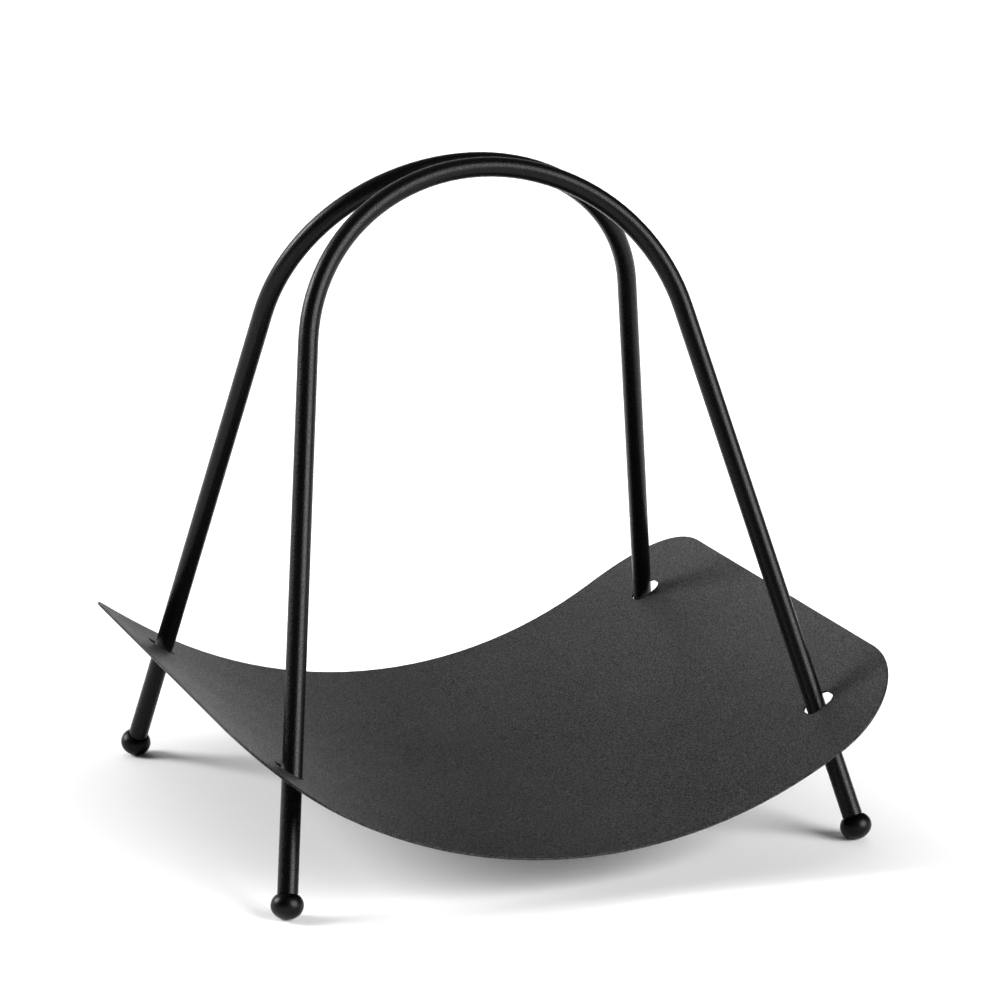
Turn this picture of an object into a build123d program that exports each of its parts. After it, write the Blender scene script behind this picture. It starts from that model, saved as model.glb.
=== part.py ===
from build123d import *

import os
from math import asin, cos, degrees, radians, sin, sqrt

# Firewood log rack. Two bent round-rod hoops lean together over a curved sheet tray. Each leg goes
# down through a slot in the tray and stands on a ball foot, which a hidden stud holds to the rod.
# The origin is on the floor in the middle of the four feet, X runs across the hoops, Y to the rear
# and Z up. Lengths are in millimetres and angles in degrees.

# Rods and hoops
rod_diameter = 12.0
rod_end_chamfer = 0.5
foot_half_width = 177.0  # from the middle to a ball's centre, along X
foot_half_depth = 165.0  # from the middle to a ball's centre, along Y
leg_splay = 10.45  # lean of a leg inside its hoop's own plane
side_bend_radius = 114.0  # centre line of the bend above each leg
crown_radius = 124.0  # centre line of the flatter bend over the top
crown_half_angle = 35.0
crown_half_gap = 10.0  # from the middle to a crown's centre line, along Y

# Ball feet, a little flattened along the leg
ball_diameter = 19.0
ball_length = 16.4  # along the leg, before the flats are cut
ball_side_radius = 7.4  # of the rounding round the ball's widest part
ball_center_height = 8.1  # low enough that each ball stands on a small flat sole
ball_top = 5.9  # from the ball's centre up the leg to the flat that the rod stands on
ball_rim_radius = 0.4

# Studs that join the feet to the rods
stud_diameter = 6.0
stud_in_ball = 9.0
stud_in_rod = 12.0
stud_end_chamfer = 0.6
hole_end_gap = 1.0  # a tapped hole is this much deeper than its stud reaches

# Tray
sheet_thickness = 1.5
sheet_edge_radius = 0.4
tray_length = 448.0  # along the curve, on the upper face
tray_depth = 400.0
tray_radius = 288.0  # of the upper face
tray_low_point = 26.1  # height of the upper face's lowest line
tray_corner_radius = 65.0
corner_cut_depth = 15.0  # more than the sheet curves away over one corner
slot_length = 18.8
slot_width = 15.5
slot_corner_radius = 5.5
slot_inner_reach = 6.9  # from the leg's axis to the slot's end nearest the middle
slot_offset = 0.8  # of the slot from the leg's axis, towards the tray's middle along Y
slot_cut_depth = 10.0  # more than the sheet, to go right through its curve

# Worked out from the sizes above
rod_radius = rod_diameter / 2
ball_radius = ball_diameter / 2
ball_half_length = ball_length / 2
ball_side_offset = ball_radius - ball_side_radius
ball_end_radius = (
    (ball_side_offset**2 + ball_half_length**2 - ball_side_radius**2)
    / (2 * (ball_half_length - ball_side_radius))
)
ball_end_angle = degrees(asin(ball_side_offset / (ball_end_radius - ball_side_radius)))
ball_side_angle = 90 - ball_end_angle + degrees(asin(ball_top / ball_side_radius))
stud_radius = stud_diameter / 2
splay = radians(leg_splay)
crown = radians(crown_half_angle)
side_bend_angle = 90 - leg_splay - crown_half_angle
bends_width = side_bend_radius * (cos(splay) - sin(crown)) + crown_radius * sin(crown)
bends_height = side_bend_radius * (cos(crown) - sin(splay)) + crown_radius * (1 - cos(crown))
leg_length = (foot_half_width - bends_width) / sin(splay)
hoop_height = leg_length * cos(splay) + bends_height
lean = asin((foot_half_depth - crown_half_gap) / hoop_height)
tray_half_angle = degrees(tray_length / 2 / tray_radius)
tray_axis_height = tray_low_point + tray_radius
mid_sheet_radius = tray_radius + sheet_thickness / 2

sides_x = {"left": -1, "right": 1}
sides_y = {"front": -1, "rear": 1}


def hoop_plane(side_y):
    """The plane of one hoop, with its origin between the two ball centres and its Y up the hoop."""
    return Plane(
        origin=(0, side_y * foot_half_depth, ball_center_height),
        x_dir=(1, 0, 0),
        z_dir=(0, -cos(lean), -side_y * sin(lean)),
    )


def leg_plane(side_x, side_y):
    """A plane across one leg at its ball's centre, with its Z up the leg."""
    hoop = hoop_plane(side_y)
    center = hoop.from_local_coords((side_x * foot_half_width, 0))
    above = hoop.from_local_coords((side_x * (foot_half_width - sin(splay)), cos(splay)))
    return Plane(origin=center, x_dir=hoop.z_dir, z_dir=above - center)


def slot_plane(side_x, side_y):
    """A plane on the tray where one leg goes through it, with its X along the curve, outwards."""
    leg = leg_plane(side_x, side_y)
    start, up = leg.origin, leg.z_dir
    drop = start.Z - tray_axis_height
    a = up.X**2 + up.Z**2
    b = 2 * (start.X * up.X + drop * up.Z)
    c = start.X**2 + drop**2 - mid_sheet_radius**2
    distance = (-b - sqrt(b**2 - 4 * a * c)) / (2 * a)
    crossing = start + up * distance
    inwards = Vector(-crossing.X, 0, tray_axis_height - crossing.Z)
    outwards = Vector(inwards.Z, 0, -inwards.X) * side_x
    return Plane(origin=crossing, x_dir=outwards, z_dir=inwards)


def corner_plane(side_x, side_y):
    """A plane flat on one corner of the tray, with its X in along the sheet and its Y in across it."""
    angle = radians(tray_half_angle)
    corner = (
        side_x * tray_radius * sin(angle),
        side_y * tray_depth / 2,
        tray_axis_height - tray_radius * cos(angle),
    )
    along = Vector(-side_x * cos(angle), 0, -sin(angle))
    across = Vector(0, -side_y, 0)
    return Plane(origin=corner, x_dir=along, z_dir=along.cross(across))


def make_hoop(name, side_y):
    """One hoop: two straight legs, a bend above each, the crown, and a tapped hole in each end."""
    end_x = foot_half_width - ball_top * sin(splay)
    end_y = ball_top * cos(splay)
    with BuildPart() as hoop:
        with BuildLine(hoop_plane(side_y)) as path:
            leg = PolarLine((-end_x, end_y), leg_length - ball_top, 90 - leg_splay)
            side_bend = JernArc(leg @ 1, leg % 1, side_bend_radius, -side_bend_angle)
            top = JernArc(side_bend @ 1, side_bend % 1, crown_radius, -2 * crown_half_angle)
            other_bend = JernArc(top @ 1, top % 1, side_bend_radius, -side_bend_angle)
            Line(other_bend @ 1, (end_x, end_y))
        with BuildSketch(Plane(origin=leg @ 0, z_dir=leg % 0)):
            Circle(rod_radius)
        sweep(path=path.wire())
        rod_ends = hoop.edges().filter_by(GeomType.CIRCLE).sort_by(Axis.Z)[:2]
        chamfer(rod_ends, rod_end_chamfer)
        for side_x in sides_x.values():
            with BuildSketch(leg_plane(side_x, side_y).offset(ball_top)):
                Circle(stud_radius)
            extrude(amount=stud_in_rod + hole_end_gap, mode=Mode.SUBTRACT)
    hoop.part.label = name
    export_step(hoop.part, f"parts/{name}.step")


def make_ball_foot(name, side_x, side_y):
    """One ball foot: a flat top with a rounded rim, a tapped hole down from it, and a flat sole."""
    leg = leg_plane(side_x, side_y)
    profile_plane = Plane(origin=leg.origin, x_dir=leg.x_dir, z_dir=leg.x_dir.cross(leg.z_dir))
    with BuildPart() as foot:
        with BuildSketch(profile_plane) as profile:
            with BuildLine():
                end = JernArc((0, -ball_half_length), (1, 0), ball_end_radius, ball_end_angle)
                side = JernArc(end @ 1, end % 1, ball_side_radius, ball_side_angle)
                flat = Line(side @ 1, (0, ball_top))
                Line(flat @ 1, end @ 0)
            make_face()
            rim = profile.vertices().sort_by_distance(side @ 1)[0]
            fillet(rim, ball_rim_radius)
        revolve(axis=Axis(leg.origin, leg.z_dir))
        with BuildSketch(leg.offset(ball_top)):
            Circle(stud_radius)
        extrude(amount=-(stud_in_ball + hole_end_gap), mode=Mode.SUBTRACT)
        split(bisect_by=Plane.XY, keep=Keep.TOP)
    foot.part.label = name
    export_step(foot.part, f"parts/{name}.step")


def make_stud(name, side_x, side_y):
    """One stud, half in a ball foot and half in the rod's end. Its thread is left as a plain cylinder."""
    with BuildPart() as stud:
        with BuildSketch(leg_plane(side_x, side_y).offset(ball_top - stud_in_ball)):
            Circle(stud_radius)
        extrude(amount=stud_in_ball + stud_in_rod)
        chamfer(stud.edges().filter_by(GeomType.CIRCLE), stud_end_chamfer)
    stud.part.label = name
    export_step(stud.part, f"parts/{name}.step")


def make_tray(name):
    """The sheet: rolled to one radius, with rounded corners and a slot for each leg."""
    with BuildPart() as tray:
        with BuildSketch(Plane.XZ):
            with BuildLine():
                start_angle = -90 - tray_half_angle
                axis_point = (0, tray_axis_height)
                upper = CenterArc(axis_point, tray_radius, start_angle, 2 * tray_half_angle)
                lower = CenterArc(
                    axis_point, tray_radius + sheet_thickness, start_angle, 2 * tray_half_angle
                )
                Line(upper @ 0, lower @ 0)
                Line(upper @ 1, lower @ 1)
            make_face()
        extrude(amount=tray_depth / 2, both=True)
        for side_x in sides_x.values():
            for side_y in sides_y.values():
                with BuildSketch(corner_plane(side_x, side_y)):
                    Rectangle(2 * tray_corner_radius, 2 * tray_corner_radius)
                    with Locations((tray_corner_radius, tray_corner_radius)):
                        Circle(tray_corner_radius, mode=Mode.SUBTRACT)
                extrude(amount=corner_cut_depth, both=True, mode=Mode.SUBTRACT)
                slot_center = (slot_length / 2 - slot_inner_reach, -side_x * side_y * slot_offset)
                with BuildSketch(slot_plane(side_x, side_y)):
                    with Locations(slot_center):
                        RectangleRounded(slot_length, slot_width, slot_corner_radius)
                extrude(amount=slot_cut_depth / 2, both=True, mode=Mode.SUBTRACT)
        rims = tray.edges().filter_by(lambda edge: edge.length > 2 * sheet_thickness)
        fillet(rims, sheet_edge_radius)
    tray.part.label = name
    export_step(tray.part, f"parts/{name}.step")


os.makedirs("parts", exist_ok=True)
make_tray("tray_sheet")
for end, side_y in sides_y.items():
    make_hoop(f"{end}_hoop", side_y)
    for hand, side_x in sides_x.items():
        make_ball_foot(f"ball_foot_{end}_{hand}", side_x, side_y)
        make_stud(f"foot_stud_{end}_{hand}", side_x, side_y)
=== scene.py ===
import math

import bpy
from mathutils import Matrix, Vector

# Looks for the firewood log rack: powder-coated tray and hoops, moulded ball feet and plated studs, on a
# white studio floor with soft lights and a camera. Lengths are in metres unless a comment says otherwise,
# and X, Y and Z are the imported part's own.

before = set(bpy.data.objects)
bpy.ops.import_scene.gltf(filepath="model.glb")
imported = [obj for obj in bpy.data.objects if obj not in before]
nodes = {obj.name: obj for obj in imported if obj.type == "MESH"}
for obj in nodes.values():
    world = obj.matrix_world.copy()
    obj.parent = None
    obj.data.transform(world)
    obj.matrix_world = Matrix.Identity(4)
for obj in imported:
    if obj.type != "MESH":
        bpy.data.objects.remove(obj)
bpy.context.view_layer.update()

# Camera
CAMERA_AZIMUTH = -19.85  # degrees; 0 stands at -Y and looks along +Y
CAMERA_ELEVATION = 14.24
CAMERA_ROLL = -1.05
CAMERA_DISTANCE = 2.4223
CAMERA_TARGET = Vector((0.0204, 0.0147, 0.1827))
SENSOR_WIDTH = 36.0  # millimetres
LENS = 142.2  # millimetres
CAMERA_CLIP_END = 100.0

# Sizes of the materials' features
GRAIN = 0.0011
FINE_GRAIN = 0.00045
ORANGE_PEEL = 0.003
CLOUD = 0.05
HANDLING_MARK = 0.006
STAIN = 0.004
PAPER_FIBRE = 0.002
THREAD_BANDS = 330.0  # scale of the wave texture that stands for a stud's thread

# Depths of the bumps
PEEL_DEPTH = 0.00003
PLASTIC_DEPTH = 0.00002
THREAD_DEPTH = 0.0002

# Coat
COAT_CLOUD_TONE = 0.15  # how far the cloudy tone goes from the dark to the light colour
COAT_ROUGHNESS_SPREAD = 0.12
COAT_CLOUD_ROUGHNESS = 0.02
COAT_SHEEN_ROUGHNESS = 0.3
RUBBED_BRIGHTNESS = 2.0  # of a rubbed edge, against the coat's light colour
FINE_SHARE = 0.5  # of the fine grain, against the coarse


def new_material(name):
    """An empty node material with its output and shader; returns (material, nodes, links, shader)."""
    material = bpy.data.materials.new(name)
    material.use_nodes = True
    tree = material.node_tree
    tree.nodes.clear()
    output = tree.nodes.new("ShaderNodeOutputMaterial")
    shader = tree.nodes.new("ShaderNodeBsdfPrincipled")
    tree.links.new(shader.outputs["BSDF"], output.inputs["Surface"])
    return material, tree.nodes, tree.links, shader


def noise(tree_nodes, links, coords, size, detail=2.0, roughness=0.5):
    """A noise texture whose features are about size metres wide."""
    node = tree_nodes.new("ShaderNodeTexNoise")
    node.inputs["Scale"].default_value = 1.0 / size
    node.inputs["Detail"].default_value = detail
    node.inputs["Roughness"].default_value = roughness
    links.new(coords, node.inputs["Vector"])
    return node.outputs["Fac"]


def remap(tree_nodes, links, value, low, high, to_low, to_high):
    """value, from low..high to to_low..to_high, held at both ends."""
    node = tree_nodes.new("ShaderNodeMapRange")
    node.inputs["From Min"].default_value = low
    node.inputs["From Max"].default_value = high
    node.inputs["To Min"].default_value = to_low
    node.inputs["To Max"].default_value = to_high
    links.new(value, node.inputs["Value"])
    return node.outputs["Result"]


def math_node(tree_nodes, links, operation, a, b):
    """a and b, sockets or numbers, joined by a math operation."""
    node = tree_nodes.new("ShaderNodeMath")
    node.operation = operation
    for socket, value in zip(node.inputs, (a, b)):
        if isinstance(value, (int, float)):
            socket.default_value = value
        else:
            links.new(value, socket)
    return node.outputs["Value"]


def mix_colors(tree_nodes, links, factor, a, b):
    """A colour between a and b; a and b are colours or sockets."""
    node = tree_nodes.new("ShaderNodeMix")
    node.data_type = "RGBA"
    links.new(factor, node.inputs["Factor"])
    for socket, value in ((node.inputs[6], a), (node.inputs[7], b)):
        if isinstance(value, tuple):
            socket.default_value = (*value, 1.0)
        else:
            links.new(value, socket)
    return node.outputs[2]


def bump(tree_nodes, links, height, depth, normal=None):
    """A bump of depth metres from a height between 0 and 1."""
    node = tree_nodes.new("ShaderNodeBump")
    node.inputs["Strength"].default_value = 1.0
    node.inputs["Distance"].default_value = depth
    links.new(height, node.inputs["Height"])
    if normal is not None:
        links.new(normal, node.inputs["Normal"])
    return node.outputs["Normal"]


def powder_coat(name, dark, light, roughness, specular, grain_depth, sheen):
    """Matt fine-texture powder coat: a pebbled grain, a faint orange peel, cloudy tone and rubbed edges."""
    material, tree_nodes, links, shader = new_material(name)
    coords = tree_nodes.new("ShaderNodeTexCoord").outputs["Object"]
    grain = noise(tree_nodes, links, coords, GRAIN, detail=1.0)
    fine = noise(tree_nodes, links, coords, FINE_GRAIN, detail=0.0)
    peel = noise(tree_nodes, links, coords, ORANGE_PEEL, detail=1.0)
    cloud = noise(tree_nodes, links, coords, CLOUD, detail=3.0)
    fine_part = math_node(tree_nodes, links, "MULTIPLY", fine, FINE_SHARE)
    pebbles = math_node(tree_nodes, links, "ADD", grain, fine_part)
    tone = math_node(
        tree_nodes, links, "ADD",
        remap(tree_nodes, links, pebbles, 0.68, 0.86, 0.0, 1.0),
        remap(tree_nodes, links, cloud, 0.3, 0.7, 0.0, COAT_CLOUD_TONE),
    )
    coat_color = mix_colors(tree_nodes, links, tone, dark, light)
    geometry = tree_nodes.new("ShaderNodeNewGeometry")
    edge = remap(tree_nodes, links, geometry.outputs["Pointiness"], 0.55, 0.75, 0.0, 1.0)
    worn = math_node(
        tree_nodes, links, "MULTIPLY", edge, remap(tree_nodes, links, cloud, 0.4, 0.65, 0.1, 0.6)
    )
    rubbed = tuple(RUBBED_BRIGHTNESS * channel for channel in light)
    links.new(mix_colors(tree_nodes, links, worn, coat_color, rubbed), shader.inputs["Base Color"])
    rougher, smoother = roughness + COAT_ROUGHNESS_SPREAD, roughness - COAT_ROUGHNESS_SPREAD
    rough = math_node(
        tree_nodes, links, "ADD",
        remap(tree_nodes, links, pebbles, 0.55, 0.95, rougher, smoother),
        remap(tree_nodes, links, cloud, 0.3, 0.7, -COAT_CLOUD_ROUGHNESS, COAT_CLOUD_ROUGHNESS),
    )
    links.new(rough, shader.inputs["Roughness"])
    shader.inputs["Specular IOR Level"].default_value = specular
    shader.inputs["Sheen Weight"].default_value = sheen
    shader.inputs["Sheen Roughness"].default_value = COAT_SHEEN_ROUGHNESS
    peeled = bump(tree_nodes, links, peel, PEEL_DEPTH)
    links.new(bump(tree_nodes, links, pebbles, grain_depth, peeled), shader.inputs["Normal"])
    return material


def moulded_plastic(name, dark, light, roughness, specular):
    """Matt moulded plastic: a very fine spark-eroded texture and faint handling marks."""
    material, tree_nodes, links, shader = new_material(name)
    coords = tree_nodes.new("ShaderNodeTexCoord").outputs["Object"]
    texture = noise(tree_nodes, links, coords, FINE_GRAIN, detail=1.0)
    marks = noise(tree_nodes, links, coords, HANDLING_MARK, detail=4.0, roughness=0.6)
    tone = remap(tree_nodes, links, marks, 0.35, 0.7, 0.0, 1.0)
    links.new(mix_colors(tree_nodes, links, tone, dark, light), shader.inputs["Base Color"])
    links.new(
        remap(tree_nodes, links, marks, 0.3, 0.7, roughness - 0.06, roughness + 0.05),
        shader.inputs["Roughness"],
    )
    shader.inputs["Specular IOR Level"].default_value = specular
    links.new(bump(tree_nodes, links, texture, PLASTIC_DEPTH), shader.inputs["Normal"])
    return material


def plated_steel(name, low, high):
    """Zinc-plated steel with a thread's ridges and faint stains."""
    material, tree_nodes, links, shader = new_material(name)
    coords = tree_nodes.new("ShaderNodeTexCoord").outputs["Object"]
    stain = noise(tree_nodes, links, coords, STAIN, detail=3.0)
    links.new(mix_colors(tree_nodes, links, stain, low, high), shader.inputs["Base Color"])
    links.new(remap(tree_nodes, links, stain, 0.3, 0.7, 0.28, 0.42), shader.inputs["Roughness"])
    shader.inputs["Metallic"].default_value = 1.0
    thread = tree_nodes.new("ShaderNodeTexWave")
    thread.bands_direction = "Z"
    thread.inputs["Scale"].default_value = THREAD_BANDS
    links.new(coords, thread.inputs["Vector"])
    links.new(bump(tree_nodes, links, thread.outputs["Fac"], THREAD_DEPTH), shader.inputs["Normal"])
    return material


def studio_floor(name, color):
    """Matt white paper."""
    material, tree_nodes, links, shader = new_material(name)
    coords = tree_nodes.new("ShaderNodeTexCoord").outputs["Object"]
    fibre = noise(tree_nodes, links, coords, PAPER_FIBRE, detail=3.0)
    darker = tuple(0.99 * channel for channel in color)
    links.new(mix_colors(tree_nodes, links, fibre, darker, color), shader.inputs["Base Color"])
    shader.inputs["Roughness"].default_value = 0.9
    shader.inputs["Specular IOR Level"].default_value = 0.1
    return material


def set_material(node, material):
    """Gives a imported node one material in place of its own."""
    node.data.materials.clear()
    node.data.materials.append(material)


BLACK = (0.0, 0.0, 0.0)
tray_coat = powder_coat(
    "tray_coat", BLACK, (0.027, 0.027, 0.0278),
    roughness=0.5, specular=0.18, grain_depth=0.00025, sheen=0.0,
)
rod_coat = powder_coat(
    "rod_coat", BLACK, (0.002, 0.002, 0.0021),
    roughness=0.31, specular=0.14, grain_depth=0.00009, sheen=0.12,
)
foot_plastic = moulded_plastic(
    "foot_plastic", BLACK, (0.0008, 0.0008, 0.0009), roughness=0.36, specular=0.14
)
stud_steel = plated_steel("stud_steel", (0.45, 0.45, 0.46), (0.62, 0.62, 0.6))
for name, node in nodes.items():
    if name.startswith("tray"):
        set_material(node, tray_coat)
    elif name.endswith("hoop"):
        set_material(node, rod_coat)
    elif name.startswith("ball_foot"):
        set_material(node, foot_plastic)
    else:
        set_material(node, stud_steel)

# Floor: a wide disc, level with the soles
FLOOR_RADIUS = 40.0
FLOOR_SIDES = 96
rim_angles = [math.tau * i / FLOOR_SIDES for i in range(FLOOR_SIDES)]
rim = [(FLOOR_RADIUS * math.cos(angle), FLOOR_RADIUS * math.sin(angle), 0.0) for angle in rim_angles]
floor_mesh = bpy.data.meshes.new("studio_floor")
floor_mesh.from_pydata(rim, [], [tuple(range(FLOOR_SIDES))])
floor = bpy.data.objects.new("studio_floor", floor_mesh)
bpy.context.scene.collection.objects.link(floor)
floor_mesh.materials.append(studio_floor("floor_paper", (0.92, 0.92, 0.92)))

# Studio: dark above, with a low pale wall all round and a glow behind
STUDIO_DARK = 0.02
BACK_GLOW = 1.0
BACK_GLOW_DIRECTION = Vector((-0.50, 0.86, 0.10)).normalized()
BACK_GLOW_EDGE = 0.55  # cosine of the angle from that direction where the glow ends
WALL_WHITE = 0.4
WALL_FADE = (0.08, 0.2)  # sine of the elevation where the wall starts to fade, and where it ends
world = bpy.data.worlds.new("studio")
bpy.context.scene.world = world
world.use_nodes = True
world_nodes, world_links = world.node_tree.nodes, world.node_tree.links
background = world_nodes["Background"]
direction = world_nodes.new("ShaderNodeTexCoord").outputs["Generated"]
facing_back = world_nodes.new("ShaderNodeVectorMath")
facing_back.operation = "DOT_PRODUCT"
facing_back.inputs[1].default_value = BACK_GLOW_DIRECTION
world_links.new(direction, facing_back.inputs[0])
height = world_nodes.new("ShaderNodeSeparateXYZ")
world_links.new(direction, height.inputs["Vector"])
glow = remap(
    world_nodes, world_links, facing_back.outputs["Value"], BACK_GLOW_EDGE, 1.0, STUDIO_DARK, BACK_GLOW
)
wall = remap(world_nodes, world_links, height.outputs["Z"], *WALL_FADE, WALL_WHITE, 0.0)
world_links.new(math_node(world_nodes, world_links, "ADD", glow, wall), background.inputs["Strength"])
background.inputs["Color"].default_value = (1.0, 1.0, 1.0, 1.0)


def direction_from(azimuth, elevation):
    """The unit vector at an azimuth and elevation in degrees. Azimuth 0 is -Y and 90 is +X."""
    a, e = math.radians(azimuth), math.radians(elevation)
    return Vector((math.sin(a) * math.cos(e), -math.cos(a) * math.cos(e), math.sin(e)))


def sun(name, azimuth, elevation, strength, spread):
    """A soft light from far away at an azimuth and elevation; spread is its width in degrees."""
    light = bpy.data.lights.new(name, "SUN")
    light.energy = strength
    light.angle = math.radians(spread)
    lamp = bpy.data.objects.new(name, light)
    bpy.context.scene.collection.objects.link(lamp)
    lamp.rotation_euler = direction_from(azimuth, elevation).to_track_quat("Z", "Y").to_euler()
    return lamp


sun("left_light", -124.0, 30.0, 3.8, 28.0)
sun("right_light", 39.0, 23.0, 5.5, 43.0)
top_light = sun("top_light", 170.0, 60.0, 1.7, 70.0)
top_light.visible_glossy = False

# Camera
roll = math.radians(CAMERA_ROLL)
towards = direction_from(CAMERA_AZIMUTH, CAMERA_ELEVATION)  # from the target to the camera
right = (-towards).cross(Vector((0.0, 0.0, 1.0))).normalized()
up = right.cross(-towards)
rolled_right = right * math.cos(roll) + up * math.sin(roll)
rolled_up = up * math.cos(roll) - right * math.sin(roll)
camera_data = bpy.data.cameras.new("photo_camera")
camera_data.sensor_width = SENSOR_WIDTH
camera_data.lens = LENS
camera_data.clip_end = CAMERA_CLIP_END
camera = bpy.data.objects.new("photo_camera", camera_data)
bpy.context.scene.collection.objects.link(camera)
pose = Matrix((rolled_right, rolled_up, towards)).transposed().to_4x4()
pose.translation = CAMERA_TARGET + towards * CAMERA_DISTANCE
camera.matrix_world = pose
bpy.context.scene.camera = camera

bpy.context.scene.view_settings.view_transform = "Standard"
bpy.context.scene.view_settings.look = "None"

bpy.context.view_layer.update()
